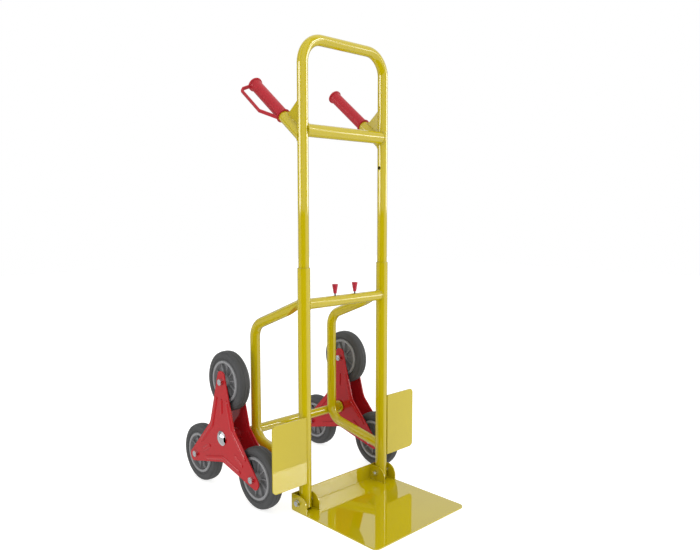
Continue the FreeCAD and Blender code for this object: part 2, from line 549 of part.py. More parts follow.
# ================================================================ mast lock
for s, side in SIDES:
    tag = side.capitalize()
    kx = p("KnobX")
    rod = cylinder("LockRod" + tag, "4.5", str(125.8 - 44.0), (str(44.0 if s > 0 else -125.8), MY, S + "BarZ"), (1, 0, 0))
    blk = cylinder("LockBlock" + tag, S + "BarBore/2 - 0.08", "18", (str(28.0 if s > 0 else -46.0), MY, S + "BarZ"), (1, 0, 0))
    seat = cylinder("LockSeat" + tag, "5", "4", (str(24.0 if s > 0 else -28.0), MY, S + "BarZ"), (1, 0, 0))
    bore = cylinder("LockStemBore" + tag, "2", "30", (str(s * kx), MY, S + "BarZ - 4"))
    node(cut("LockBolt" + tag, fuse("LockSolid" + tag, [rod, blk, seat]), bore), "lock_bolt_" + side)
    stem = cylinder("Stem" + tag, "2", "35", (str(s * kx), MY, S + "BarZ - 4"))
    node(stem, "release_stem_" + side)
    kb = new_body("Knob" + tag, Placement(V(s * kx, Y0, p("BarZ") + 18.4), Rotation(V(1, 0, 0), 90)))
    bind(kb, "Placement.Base.y", MY)
    sk = sketch(kb, "KnobSection" + tag, "XY_Plane")
    poly_arcs(sk, [(2.0, 0, 0), (3.6, 0, 1.0), (4.0, 3.0, 6.0), (7.2, 22.6, 1.6), (0, 24.2, 0), (0, 12.6, 0), (2.0, 12.6, 0)])
    revolve(kb, sk, "KnobTurn" + tag)
    node(kb, "release_knob_" + side)
    # compression spring between the lock block and the centre stop
    turns, rr, wr, x0, x1 = 6.0, 7.6, 0.8, 3.4, 27.6
    helix = Part.makeHelix((x1 - x0 - 2 * wr) / turns, x1 - x0 - 2 * wr, rr)
    helix.Placement = Placement(V(0, 0, 0), Rotation(V(0, 0, 1), V(1, 0, 0)))
    prof_w = Part.Wire([Part.makeCircle(wr, V(rr, 0, 0), V(0, 1, 0.16).normalize())])
    prof_w.Placement = Placement(V(0, 0, 0), Rotation(V(0, 0, 1), V(1, 0, 0))) * prof_w.Placement
    solid = Part.Wire(helix.Edges).makePipeShell([prof_w], True, True)
    spr = doc.addObject("Part::Feature", "LockSpring" + tag)
    spr.Shape = solid
    spr.Placement = Placement(V(s * (x0 + wr), Y0, p("BarZ")), Rotation(V(0, 0, 1), 0 if s > 0 else 180))
    node(spr, "lock_spring_" + side)
st = cylinder("StopDisc", S + "BarBore/2", "6", ("-3", MY, S + "BarZ"), (1, 0, 0))
node(st, "spring_stop")


# ================================================================ wheel clusters
def arm_dirs():
    return [math.radians(a) for a in (90, 210, 330)]


def strip(sk, line, hw):
    """closed outline of a bent strip with round ends"""
    n = len(line)
    P = [V(a, b, 0) for a, b in line]
    left, right = [], []
    for i in range(n):
        d1 = (P[i] - P[i - 1]).normalize() if i > 0 else None
        d2 = (P[i + 1] - P[i]).normalize() if i < n - 1 else None
        if d1 is None:
            nn = V(-d2.y, d2.x, 0) * hw
        elif d2 is None:
            nn = V(-d1.y, d1.x, 0) * hw
        else:
            bis = (d1 + d2).normalize()
            nn = V(-bis.y, bis.x, 0) * (hw / bis.dot(d1))
        left.append(P[i] + nn)
        right.append(P[i] - nn)
    g = []
    for i in range(n - 1):
        g.append(Part.LineSegment(left[i], left[i + 1]))
    de = (P[-1] - P[-2]).normalize()
    g.append(Part.Arc(left[-1], P[-1] + de * hw, right[-1]))
    for i in range(n - 1, 0, -1):
        g.append(Part.LineSegment(right[i], right[i - 1]))
    ds = (P[0] - P[1]).normalize()
    g.append(Part.Arc(right[0], P[0] + ds * hw, left[0]))
    sk.addGeometry(g, False)


def on_arm(a, along, across):
    """point given along an arm's centre line and across it"""
    return (along * math.cos(a) - across * math.sin(a), along * math.sin(a) + across * math.cos(a))


def cluster_plate(name, s_out, x_face):
    """Y-shaped pressed plate. s_out is the direction its embossed face looks in;
    x_face is the x of its plain (wheel side) face."""
    m = Rotation(V(0, s_out, 0), V(0, 0, 1), V(s_out, 0, 0), "ZYX")
    b = new_body(name, Placement(V(x_face, Y0 + p("AxleY"), p("AxleZ")), m))
    bind(b, "Placement.Base.y", AY)
    bind(b, "Placement.Base.z", S + "AxleZ")
    sk = sketch(b, name + "Outline", "XY_Plane")
    pts = []
    for a in arm_dirs():
        tip, hw = 182.0, 12.4
        k = on_arm(a + math.radians(60), 65.0, 0)     # concave corner after this arm
        k0 = on_arm(a - math.radians(60), 65.0, 0)
        pts.append((k0[0], k0[1], 34.0))
        q1, q2 = on_arm(a, tip, -hw), on_arm(a, tip, hw)
        pts.append((q1[0], q1[1], 13.5))
        pts.append((q2[0], q2[1], 13.5))
    poly_arcs(sk, pts)
    circle(sk, 0, 0, "8.3")
    for a in arm_dirs():
        c = on_arm(a, p("ClusterArm"), 0)
        circle(sk, c[0], c[1], S + "WheelBoltDia/2")
    pd = pad(b, sk, S + "PlateThk", name + "Pad")
    doc.recompute()
    # embossed ribs stand 2.4 mm proud, with a matching groove behind
    for which, hw, z in (("Rib", 4.2, None), ("Groove", 2.2, None)):
        sk = sketch(b, name + which, "XY_Plane", (0, 0, p("PlateThk") if which == "Rib" else 0))
        for a in arm_dirs():
            a2 = a + math.radians(60)
            kk = on_arm(a2, 53.0, 0)
            strip(sk, [on_arm(a, 105.0, 23.5), kk, on_arm(a + math.radians(120), 105.0, -23.5)], hw)
            strip(sk, [on_arm(a, 70.0, 0), on_arm(a, 103.5, 0)], hw)
        if which == "Rib":
            f = pad(b, sk, "2.4", name + "RibPad")
            doc.recompute()
            top = p("PlateThk") + 2.4
            es = []
            for i, e in enumerate(f.Shape.Edges):
                vs = [b.Placement.inverse().multVec(v.Point) if abs(f.Placement.Base.Length) > 1e9 else v.Point for v in e.Vertexes]
                if all(abs(v.z - top) < 1e-3 for v in vs) and vs:
                    es.append("Edge%d" % (i + 1))
            fl = b.newObject("PartDesign::Fillet", name + "RibSoft")
            fl.Base = (f, es)
            fl.Radius = 1.9
            doc.recompute()
        else:
            v0 = b.Shape.Volume
            f = pocket(b, sk, "1.8", name + "GroovePocket", reverse=True)
            doc.recompute()
            if b.Shape.Volume >= v0 - 1:
                raise SystemExit("groove cut nothing: " + name)
    return b


def wheel(tag, node_tag, x, y, z):
    """tyre and spoked plastic rim; local Y is the spin axis"""
    m = Rotation(V(0, 1, 0), V(1, 0, 0))
    pl = Placement(V(x, y, z), m)
    R, hw, rr = p("WheelDia") / 2, p("WheelWidth") / 2, p("RimDia") / 2
    b = new_body("Tyre" + tag, pl)
    sk = sketch(b, "TyreSection" + tag, "XY_Plane")
    half = [(rr, hw - 3.2, 0), (rr + 4.5, hw - 2.6, 1.5), (rr + 6.5, hw - 0.4, 1.2), (R - 6.5, hw, 5.0), (R - 1.7, hw - 3.8, 1.0),
            (R - 0.7, 8.4, 6.0), (R, 5.2, 1.0), (R, 4.9, 0), (R - 0.9, 4.6, 0), (R - 0.9, 3.9, 0), (R, 3.6, 0)]
    other = [(q[0], -q[1], q[2]) for q in reversed(half)]
    poly_arcs(sk, half + other)
    revolve(b, sk, "TyreTurn" + tag)
    node(b, "tyre_" + node_tag)
    c = new_body("Rim" + tag, pl)
    sk = sketch(c, "RimSection" + tag, "XY_Plane")
    hb, hl = p("HubBore") / 2, p("HubLength") / 2
    half = [(hb, hl, 0), (12.6, hl, 1.0), (14.5, hl - 8.0, 1.0), (15.6, 2.6, 2.0), (rr - 9.0, 2.6, 2.0), (rr - 8.0, 9.0, 2.0), (rr - 7.4, hw + 0.3, 1.4), (rr - 1.2, hw + 0.3, 1.2), (rr, hw - 3.2, 0)]
    other = [(q[0], -q[1], q[2]) for q in reversed(half)]
    poly_arcs(sk, half + other)
    revolve(c, sk, "RimTurn" + tag)
    sk = sketch(c, "RimSpokes" + tag, "XZ_Plane")
    for k in range(10):
        a = 2 * math.pi * k / 10 + math.radians(9)
        u, v = (math.cos(a), math.sin(a)), (-math.sin(a), math.cos(a))
        q = [(u[0] * r + v[0] * w, u[1] * r + v[1] * w, 0) for r, w in ((13.6, -1.3), (rr - 6.6, -1.1), (rr - 6.6, 1.1), (13.6, 1.3))]
        poly_arcs(sk, q)
    pad(c, sk, "20", "RimSpokePad" + tag, symmetric=True)
    doc.recompute()
    node(c, "rim_" + node_tag)


for s, side in SIDES:
    tag = side.capitalize()
    xo, xi, thk = p("OuterPlateX"), p("InnerPlateX"), p("PlateThk")
    bo = cluster_plate("PlateOuter" + tag, s, s * xo)
    node(bo, "cluster_plate_outer_" + side)
    bi = cluster_plate("PlateInner" + tag, -s, s * xi)
    node(bi, "cluster_plate_inner_" + side)
    a = cylinder("HubTubeOut" + tag, "17", S + "OuterPlateX - " + S + "InnerPlateX", ((S + "InnerPlateX") if s > 0 else "-" + S + "OuterPlateX", AY, S + "AxleZ"), (1, 0, 0))
    c = cylinder("HubTubeBore" + tag, S + "AxleDia/2 + 0.05", "80", (str(s * 215 - 40), AY, S + "AxleZ"), (1, 0, 0))
    node(cut("HubTube" + tag, a, c), "cluster_hub_tube_" + side)
    wb, wn, ws = [], [], []
    for j, (ang, pos) in enumerate(zip(arm_dirs(), ("top", "front", "rear"))):
        y = p("AxleY") + Y0 + p("ClusterArm") * math.cos(ang)
        z = p("AxleZ") + p("ClusterArm") * math.sin(ang)
        ys, zs = "%.6f" % y, "%.6f" % z
        k = tag + str(j)
        seat_o, seat_i = xo + thk, xi - thk
        head = hex_head("WheelBoltHead" + k, s, s * seat_o, 6.4, ys, zs, "WheelHexAcross")
        x_a, x_b = seat_i - 10.2, seat_o
        sh = cylinder("WheelBoltShank" + k, S + "WheelBoltDia/2", str(x_b - x_a), (str(x_a if s > 0 else -x_b), ys, zs), (1, 0, 0))
        wb.append(fuse("WheelBolt" + k, [head, sh]))
        nb = hex_head("WheelNutHex" + k, -s, s * seat_i, 8.4, ys, zs, "WheelHexAcross")
        nc = cylinder("WheelNutBore" + k, S + "WheelBoltDia/2", "20", (str(s * (seat_i - 3) - 10), ys, zs), (1, 0, 0))
        wn.append(cut("WheelNut" + k, nb, nc))
        so = cylinder("SleeveOut" + k, S + "SleeveDia/2", str(xo - xi), (str(xi if s > 0 else -xo), ys, zs), (1, 0, 0))
        sb = cylinder("SleeveBore" + k, S + "WheelBoltDia/2", "80", (str(s * 215 - 40), ys, zs), (1, 0, 0))
        ws.append(cut("Sleeve" + k, so, sb))
        wheel(tag + pos.capitalize(), pos + "_" + side, s * p("WheelX"), y, z)
    node(compound("WheelBolts" + tag, wb), "wheel_bolts_" + side)
    node(compound("WheelNuts" + tag, wn), "wheel_nuts_" + side)
    node(compound("WheelSleeves" + tag, ws), "wheel_sleeves_" + side)

# ================================================================ check and write
doc.recompute()
for o in doc.Objects:
    if any(k in ("Invalid", "Error") for k in o.State):
        raise SystemExit("failed object: %s %s" % (o.Name, o.State))
assert len(NODES) <= 60, len(NODES)
for o, name in NODES:
    sh = o.Shape
    if sh.isNull() or not sh.isValid() or not sh.Solids:
        raise SystemExit("bad shape: " + name)
    if any(v.Volume <= 0 for v in sh.Solids):
        raise SystemExit("inside-out solid: " + name)
    if len(name) >= 60:
        raise SystemExit("name too long: " + name)
for o, name in NODES:
    o.Shape.exportStep("parts/%s.step" % name)
print("nodes", len(NODES))
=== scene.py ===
import json
import math
import random
import bpy
import bmesh
from mathutils import Matrix, Vector


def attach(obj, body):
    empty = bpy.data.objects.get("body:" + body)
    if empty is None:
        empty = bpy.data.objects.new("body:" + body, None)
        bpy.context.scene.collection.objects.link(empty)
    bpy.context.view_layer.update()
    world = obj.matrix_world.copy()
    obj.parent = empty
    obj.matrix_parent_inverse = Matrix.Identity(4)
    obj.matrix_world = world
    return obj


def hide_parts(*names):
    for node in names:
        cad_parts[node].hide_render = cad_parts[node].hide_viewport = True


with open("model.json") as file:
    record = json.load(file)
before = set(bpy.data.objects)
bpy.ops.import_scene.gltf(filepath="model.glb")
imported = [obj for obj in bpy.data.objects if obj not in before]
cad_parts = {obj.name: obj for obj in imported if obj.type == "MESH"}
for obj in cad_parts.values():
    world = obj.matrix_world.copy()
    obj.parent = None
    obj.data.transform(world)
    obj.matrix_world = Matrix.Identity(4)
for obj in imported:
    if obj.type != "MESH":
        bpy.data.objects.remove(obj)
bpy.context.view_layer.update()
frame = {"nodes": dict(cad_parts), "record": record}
NODES = frame["nodes"]
SCENE = bpy.context.scene
SIDES = (("left", -1.0), ("right", 1.0))
RISE = {"top": (0.1424, 0.30935), "front": (0.009985, 0.080), "rear": (0.274815, 0.080)}
AXLE = (0.1424, 0.15645)
MAST_Y = -0.0807


# ---------------------------------------------------------------- camera
cam_data = bpy.data.cameras.new("camera")
cam_data.lens = 34.67
cam_data.sensor_width = 36.0
cam_data.clip_start = 0.05
cam_data.clip_end = 60.0
camera = bpy.data.objects.new("camera", cam_data)
camera.location = (-1.2104, -1.3492, 0.7602)
camera.rotation_euler = (math.radians(90 - 5.864), 0.0, math.radians(-44.0835))
SCENE.collection.objects.link(camera)
SCENE.camera = camera
SCENE.view_settings.view_transform = "Standard"


# ---------------------------------------------------------------- node helpers
def material(name):
    m = bpy.data.materials.new(name)
    m.use_nodes = True
    t = m.node_tree
    t.nodes.clear()
    out = t.nodes.new("ShaderNodeOutputMaterial")
    b = t.nodes.new("ShaderNodeBsdfPrincipled")
    t.links.new(b.outputs["BSDF"], out.inputs["Surface"])
    return m, t, b


def coords(t):
    return t.nodes.new("ShaderNodeTexCoord").outputs["Object"]


def noise(t, where, scale, detail=3.0, rough=0.55, distortion=0.0):
    n = t.nodes.new("ShaderNodeTexNoise")
    n.inputs["Scale"].default_value = scale
    n.inputs["Detail"].default_value = detail
    n.inputs["Roughness"].default_value = rough
    n.inputs["Distortion"].default_value = distortion
    t.links.new(where, n.inputs["Vector"])
    return n.outputs["Fac"]


def ramp(t, fac, *stops):
    r = t.nodes.new("ShaderNodeValToRGB")
    e = r.color_ramp.elements
    while len(e) < len(stops):
        e.new(0.5)
    for i, (pos, col) in enumerate(stops):
        e[i].position = pos
        e[i].color = (*col, 1.0) if len(col) == 3 else col
    t.links.new(fac, r.inputs["Fac"])
    return r.outputs["Color"]


def rng(t, fac, a, b, lo, hi):
    r = t.nodes.new("ShaderNodeMapRange")
    r.inputs["From Min"].default_value = a
    r.inputs["From Max"].default_value = b
    r.inputs["To Min"].default_value = lo
    r.inputs["To Max"].default_value = hi
    t.links.new(fac, r.inputs["Value"])
    return r.outputs["Result"]


def math_node(t, op, a, b=None, c=None):
    n = t.nodes.new("ShaderNodeMath")
    n.operation = op
    for i, v in enumerate((a, b, c)):
        if v is None:
            continue
        if isinstance(v, (int, float)):
            n.inputs[i].default_value = v
        else:
            t.links.new(v, n.inputs[i])
    return n.outputs[0]


def mix_col(t, fac, a, b, mode="MIX"):
    n = t.nodes.new("ShaderNodeMix")
    n.data_type = "RGBA"
    n.blend_type = mode
    for s, v in ((n.inputs["Factor"], fac), (n.inputs["A"], a), (n.inputs["B"], b)):
        pass
    ins = [i for i in n.inputs if i.enabled]
    for s, v in zip(ins, (fac, a, b)):
        if isinstance(v, (int, float)):
            s.default_value = v
        elif isinstance(v, tuple):
            s.default_value = (*v, 1.0)
        else:
            t.links.new(v, s)
    return [o for o in n.outputs if o.enabled][0]


def bump(t, height, strength, distance, normal=None):
    n = t.nodes.new("ShaderNodeBump")
    n.inputs["Strength"].default_value = strength
    n.inputs["Distance"].default_value = distance
    t.links.new(height, n.inputs["Height"])
    if normal is not None:
        t.links.new(normal, n.inputs["Normal"])
    return n.outputs["Normal"]


def soft_edge(t, radius):
    n = t.nodes.new("ShaderNodeBevel")
    n.samples = 6
    n.inputs["Radius"].default_value = radius
    return n.outputs["Normal"]


def edge_mask(t, radius):
    """1 close to an edge of the mesh, 0 away from it."""
    bev = t.nodes.new("ShaderNodeBevel")
    bev.samples = 6
    bev.inputs["Radius"].default_value = radius
    geo = t.nodes.new("ShaderNodeNewGeometry")
    dot = t.nodes.new("ShaderNodeVectorMath")
    dot.operation = "DOT_PRODUCT"
    t.links.new(bev.outputs["Normal"], dot.inputs[0])
    t.links.new(geo.outputs["Normal"], dot.inputs[1])
    return rng(t, dot.outputs["Value"], 0.98, 0.80, 0.0, 1.0)


# ---------------------------------------------------------------- materials
def powder_coat(name, light, dark, rough, coat, peel, edge=0.0009, level=0.5):
    m, t, b = material(name)
    c = coords(t)
    broad = noise(t, c, 7.0, 4.0)
    speck = noise(t, c, 1100.0, 2.0)
    col = ramp(t, broad, (0.30, dark), (0.72, light))
    fine = ramp(t, speck, (0.35, (0.975, 0.975, 0.975)), (0.65, (1.0, 1.0, 1.0)))
    col = mix_col(t, 1.0, col, fine, "MULTIPLY")
    dust = rng(t, noise(t, c, 260.0, 6.0, 0.75), 0.66, 0.80, 0.0, 0.10)
    col = mix_col(t, dust, col, tuple(0.6 * v + 0.03 for v in dark))
    t.links.new(col, b.inputs["Base Color"])
    smear = noise(t, c, 16.0, 5.0, 0.65, 0.6)
    t.links.new(rng(t, smear, 0.3, 0.7, rough * 0.75, rough * 1.4), b.inputs["Roughness"])
    b.inputs["IOR"].default_value = 1.5
    b.inputs["Specular IOR Level"].default_value = level
    b.inputs["Coat Weight"].default_value = coat
    b.inputs["Coat Roughness"].default_value = 0.02
    b.inputs["Coat IOR"].default_value = 1.5
    n = soft_edge(t, edge)
    n = bump(t, noise(t, c, 90.0, 2.0, 0.5), 0.10, peel, n)
    t.links.new(n, b.inputs["Normal"])
    return m


def moulded(name, light, dark, rough, grain=1400.0, depth=0.00006, coat=0.0, edge=0.0006, level=0.5):
    m, t, b = material(name)
    c = coords(t)
    col = ramp(t, noise(t, c, 18.0, 4.0), (0.30, dark), (0.70, light))
    mask = edge_mask(t, edge)
    col = mix_col(t, math_node(t, "MULTIPLY", mask, 0.30), col, tuple(min(1.0, v * 1.25 + 0.01) for v in light))
    t.links.new(col, b.inputs["Base Color"])
    t.links.new(rng(t, noise(t, c, 60.0, 4.0, 0.6), 0.3, 0.7, rough * 0.85, rough * 1.2), b.inputs["Roughness"])
    b.inputs["IOR"].default_value = 1.5
    b.inputs["Specular IOR Level"].default_value = level
    b.inputs["Coat Weight"].default_value = coat
    b.inputs["Coat Roughness"].default_value = 0.08
    n = soft_edge(t, edge)
    n = bump(t, noise(t, c, grain, 2.0), 0.25, depth, n)
    t.links.new(n, b.inputs["Normal"])
    return m


def metal(name, light, dark, rough, stretch=None, depth=0.00002, edge=0.0004):
    m, t, b = material(name)
    c = coords(t)
    b.inputs["Metallic"].default_value = 1.0
    where = c
    if stretch:
        mp = t.nodes.new("ShaderNodeMapping")
        mp.inputs["Scale"].default_value = stretch
        t.links.new(c, mp.inputs["Vector"])
        where = mp.outputs["Vector"]
    col = ramp(t, noise(t, c, 90.0, 4.0, 0.6), (0.30, dark), (0.70, light))
    t.links.new(col, b.inputs["Base Color"])
    grain = noise(t, where, 500.0, 3.0)
    t.links.new(rng(t, grain, 0.3, 0.7, rough * 0.7, rough * 1.35), b.inputs["Roughness"])
    n = soft_edge(t, edge)
    n = bump(t, grain, 0.2, depth, n)
    t.links.new(n, b.inputs["Normal"])
    return m


MAT = {
    "yellow_paint": powder_coat("yellow_paint", (0.495, 0.392, 0.0018), (0.474, 0.371, 0.0012), 0.028, 0.70, 0.000003),
    "red_paint": powder_coat("red_paint", (0.440, 0.012, 0.017), (0.415, 0.010, 0.014), 0.07, 0.20, 0.00001, 0.0005, 0.35),
    "red_grip": moulded("red_grip", (0.400, 0.016, 0.026), (0.365, 0.013, 0.021), 0.32, 700.0, 0.000006, 0.0, 0.0006, 0.28),
    "red_knob": moulded("red_knob", (0.430, 0.014, 0.038), (0.395, 0.011, 0.030), 0.26, 1800.0, 0.00002, 0.3),
    "black_plastic": moulded("black_plastic", (0.030, 0.030, 0.032), (0.020, 0.020, 0.022), 0.45),
    "black_steel": metal("black_steel", (0.085, 0.085, 0.09), (0.05, 0.05, 0.055), 0.35),
    "steel": metal("steel", (0.66, 0.67, 0.68), (0.52, 0.53, 0.545), 0.22, (1.0, 6.0, 6.0)),
    "zinc": metal("zinc", (0.80, 0.82, 0.83), (0.64, 0.66, 0.69), 0.24),
    "chrome_cap": metal("chrome_cap", (0.88, 0.89, 0.90), (0.84, 0.85, 0.87), 0.045, None, 0.000004),
}


def rubber(name):
    m, t, b = material(name)
    c = coords(t)
    broad = noise(t, c, 26.0, 5.0, 0.62)
    dust = noise(t, c, 420.0, 4.0, 0.7)
    col = ramp(t, broad, (0.32, (0.050, 0.050, 0.051)), (0.70, (0.064, 0.064, 0.065)))
    col = mix_col(t, rng(t, dust, 0.50, 0.80, 0.0, 0.30), col, (0.10, 0.10, 0.098))
    t.links.new(col, b.inputs["Base Color"])
    t.links.new(rng(t, broad, 0.3, 0.7, 0.52, 0.68), b.inputs["Roughness"])
    b.inputs["IOR"].default_value = 1.5
    b.inputs["Specular IOR Level"].default_value = 0.35
    n = soft_edge(t, 0.0006)
    n = bump(t, dust, 0.35, 0.00010, n)
    n = bump(t, noise(t, c, 2200.0, 2.0), 0.25, 0.00005, n)
    t.links.new(n, b.inputs["Normal"])
    return m


MAT["tyre_rubber"] = rubber("tyre_rubber")
MAT["rim_plastic"] = moulded("rim_plastic", (0.250, 0.250, 0.256), (0.215, 0.215, 0.220), 0.36, 1300.0, 0.00006)

slot_of = {s["node"]: s["material_slot"] for s in frame["record"]["subparts"]}
for name, obj in NODES.items():
    m = MAT[slot_of[name]]
    for i in range(max(1, len(obj.data.materials))):
        if len(obj.data.materials) == 0:
            obj.data.materials.append(m)
        else:
            obj.data.materials[i] = m


# ---------------------------------------------------------------- weld beads
# Each seam is a rippled bead laid along the line where two pieces of steel meet.
def mm(*v):
    return Vector(v) * 0.001


class Beads:
    def __init__(self, name, body, finish):
        self.name, self.body, self.finish = name, body, finish
        self.bm = bmesh.new()
        self.rand = random.Random(sum(ord(c) for c in name))

    def lay(self, route, size, closed=False, pitch=2.0, flat=0.75):
        """route is in millimetres; size is the bead's half width in millimetres."""
        pts = [Vector(q) for q in route]
        if closed:
            pts.append(pts[0].copy())
        run = [0.0]
        for a, b in zip(pts, pts[1:]):
            run.append(run[-1] + (b - a).length)
        n = max(6, int(run[-1] / (pitch / 4.0)))
        count = n if closed else n + 1
        rings = []
        for i in range(count):
            d = run[-1] * i / n
            k = max(j for j in range(len(run)) if run[j] <= d + 1e-9)
            k = min(k, len(pts) - 2)
            f = (d - run[k]) / max(1e-9, run[k + 1] - run[k])
            c = pts[k].lerp(pts[k + 1], f)
            along = (pts[k + 1] - pts[k]).normalized()
            side = along.orthogonal().normalized()
            up = along.cross(side)
            ripple = 1.0 + 0.13 * math.cos(2 * math.pi * d / pitch) + self.rand.uniform(-0.03, 0.03)
            end = 1.0 if closed else min(1.0, 0.35 + min(d, run[-1] - d) / (1.4 * size))
            r = size * ripple * end
            rings.append([self.bm.verts.new(0.001 * (c + side * (r * math.cos(a)) + up * (r * math.sin(a))))
                          for a in (2 * math.pi * j / 10 for j in range(10))])
        pairs = list(zip(rings, rings[1:])) + ([(rings[-1], rings[0])] if closed else [])
        for p_ring, q_ring in pairs:
            shift = 0
            if q_ring is rings[0]:
                shift = min(range(10), key=lambda m: sum((p_ring[j].co - q_ring[(j + m) % 10].co).length for j in range(10)))
            for j in range(10):
                a, b = (j + shift) % 10, (j + 1 + shift) % 10
                self.bm.faces.new((p_ring[j], p_ring[(j + 1) % 10], q_ring[b], q_ring[a]))
        if not closed:
            self.bm.faces.new(list(reversed(rings[0])))
            self.bm.faces.new(rings[-1])

    def done(self):
        if self.body == "frame":
            # the weld stays inside the wall of the upright, clear of the bore the mast slides in
            for v in self.bm.verts:
                x0, y0 = math.copysign(0.1405, v.co.x), -0.0807
                r = math.hypot(v.co.x - x0, v.co.y - y0)
                if r < 0.0146:
                    v.co.x, v.co.y = x0 + (v.co.x - x0) * 0.0146 / max(r, 1e-6), y0 + (v.co.y - y0) * 0.0146 / max(r, 1e-6)
        bmesh.ops.recalc_face_normals(self.bm, faces=self.bm.faces[:])
        mesh = bpy.data.meshes.new(self.name)
        self.bm.to_mesh(mesh)
        self.bm.free()
        for f in mesh.polygons:
            f.use_smooth = True
        mesh.materials.append(MAT[self.finish])
        o = bpy.data.objects.new(self.name, mesh)
        SCENE.collection.objects.link(o)
        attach(o, self.body)
        return o


MY, HALF = -80.7, 140.5


def ring_of(n, start=0.0, sweep=360.0):
    return [math.radians(start + sweep * i / (n if sweep >= 360 else n - 1)) for i in range(n)]


frame_welds = Beads("frame_welds", "frame", "yellow_paint")
mast_welds = Beads("mast_welds", "mast", "yellow_paint")
toe_welds = Beads("toe_welds", "toe", "yellow_paint")
for side, s in SIDES:
    # handle rung to mast leg
    route = []
    for a in ring_of(48):
        y, z = 16.0 * math.sin(a), 955.0 + 16.0 * math.cos(a)
        x = max(7.2, math.sqrt(max(0.0, 13.5 ** 2 - min(abs(y), 13.5) ** 2)))
        route.append((s * (HALF - x - 0.2), MY + y * 0.97, 955.0 + (z - 955.0) * 0.99))
    mast_welds.lay(route, 2.3, closed=True)
    # handle leg to the back of the mast leg
    t = math.radians(38.2)
    d, n = Vector((0, math.cos(t), math.sin(t))), Vector((0, -math.sin(t), math.cos(t)))
    route = []
    for a in ring_of(48):
        q = Vector((0, 30.9, 961.0)) + Vector((1, 0, 0)) * (14.7 * math.sin(a)) + n * (14.7 * math.cos(a))
        y = max(4.0, math.sqrt(max(0.0, 13.5 ** 2 - min(13.5, abs(q.x)) ** 2))) + 0.5
        q = q + d * ((y - q.y) / d.y)
        route.append((s * HALF + q.x, MY + q.y, q.z))
    mast_welds.lay(route, 1.7, closed=True)
    # gusset to mast leg and to handle leg, on both of its faces
    for g in (-2.0, 2.0):
        mast_welds.lay([(s * HALF + g, MY + 13.5, 972.0), (s * HALF + g, MY + 13.5, 1027.0)], 1.3)
        a, b = Vector((0, 30.9, 961.0)) + n * 14.2 + d * -16.0, Vector((0, 30.9, 961.0)) + n * 14.2 + d * 34.0
        mast_welds.lay([(s * HALF + g, MY + a.y, a.z), (s * HALF + g, MY + b.y, b.z)], 1.3)
    # middle crossbar to upright
    route = []
    for a in ring_of(44):
        y, z = 13.5 * math.sin(a), 529.0 + 13.5 * math.cos(a)
        route.append((s * (HALF - math.sqrt(16.0 ** 2 - y * y) - 0.4), MY + y, z))
    frame_welds.lay(route, 1.8, closed=True)
    # wing plate to upright, at one face of the plate only
    for y in (-13.2, -17.0):
        x = HALF + math.sqrt(max(0.0, 16.0 ** 2 - min(16.0, abs(y)) ** 2)) + 0.4
        x = max(x, 148.9) if y > -16.0 else 149.0
        for z0, z1 in ((80.0, 104.0), (146.0, 174.0), (216.0, 242.0)):
            if y > -16.0:
                frame_welds.lay([(s * x, MY + y, z0), (s * x, MY + y, z1)], 1.6)
    # side loop to upright, top and bottom
    for zc, slope, lo, hi in ((533.0, -21.6, -115.0, 230.0), (101.0, 10.2, 0.0, 360.0)):
        t = math.radians(slope)
        d, n = Vector((0, math.cos(t), math.sin(t))), Vector((0, -math.sin(t), math.cos(t)))
        route = []
        for a in ring_of(44, lo, hi):
            q = Vector((0, 0, zc)) + Vector((1, 0, 0)) * (13.5 * math.sin(a)) + n * (13.5 * math.cos(a))
            y = math.sqrt(16.0 ** 2 - q.x ** 2) + 0.3
            q = q + d * ((y - q.y) / d.y)
            route.append((s * HALF + q.x, MY + q.y, q.z))
        frame_welds.lay(route, 1.7, closed=hi >= 360.0)
    # hinge ears to the toe plate, both faces of the inner ear and one face of the outer ear
    for x0 in (162.5, 119.5):
        for x in (x0 - 0.3, x0 + 3.3):
            if x > 165.0:
                continue
            toe_welds.lay([(s * x, MY - 26.0, 3.1), (s * x, MY + 16.0, 3.1)], 1.3)
for b in (frame_welds, mast_welds, toe_welds):
    b.done()

# seam round each cluster's hub tube, inside both plates
for side, s in SIDES:
    seam = Beads("cluster_welds_" + side, "cluster_" + side, "red_paint")
    for x in (193.2, 237.4):
        seam.lay([(s * x, 142.4 + 17.2 * math.cos(a), 156.45 + 17.2 * math.sin(a)) for a in ring_of(48)], 1.6, closed=True)
    seam.done()


# ---------------------------------------------------------------- pressed beads of the outer cluster plates
def on_arm(deg, along, across):
    a = math.radians(deg)
    return (along * math.cos(a) - across * math.sin(a), along * math.sin(a) + across * math.cos(a))


def rounded_route(pts, step=1.5, corner=5.0):
    """points along a bent line, its corners eased"""
    out = []
    P = [Vector(q) for q in pts]
    for i in range(len(P) - 1):
        a, b = P[i], P[i + 1]
        d = (b - a).normalized()
        a2 = a + d * corner if i > 0 else a
        b2 = b - d * corner if i < len(P) - 2 else b
        n = max(1, int((b2 - a2).length / step))
        out += [a2.lerp(b2, k / n) for k in range(n + 1)]
        if i < len(P) - 2:
            c2 = b + (P[i + 2] - b).normalized() * corner
            for k in range(1, 6):
                f = k / 6.0
                out.append((1 - f) ** 2 * b2 + 2 * f * (1 - f) * b + f * f * c2)
    return out


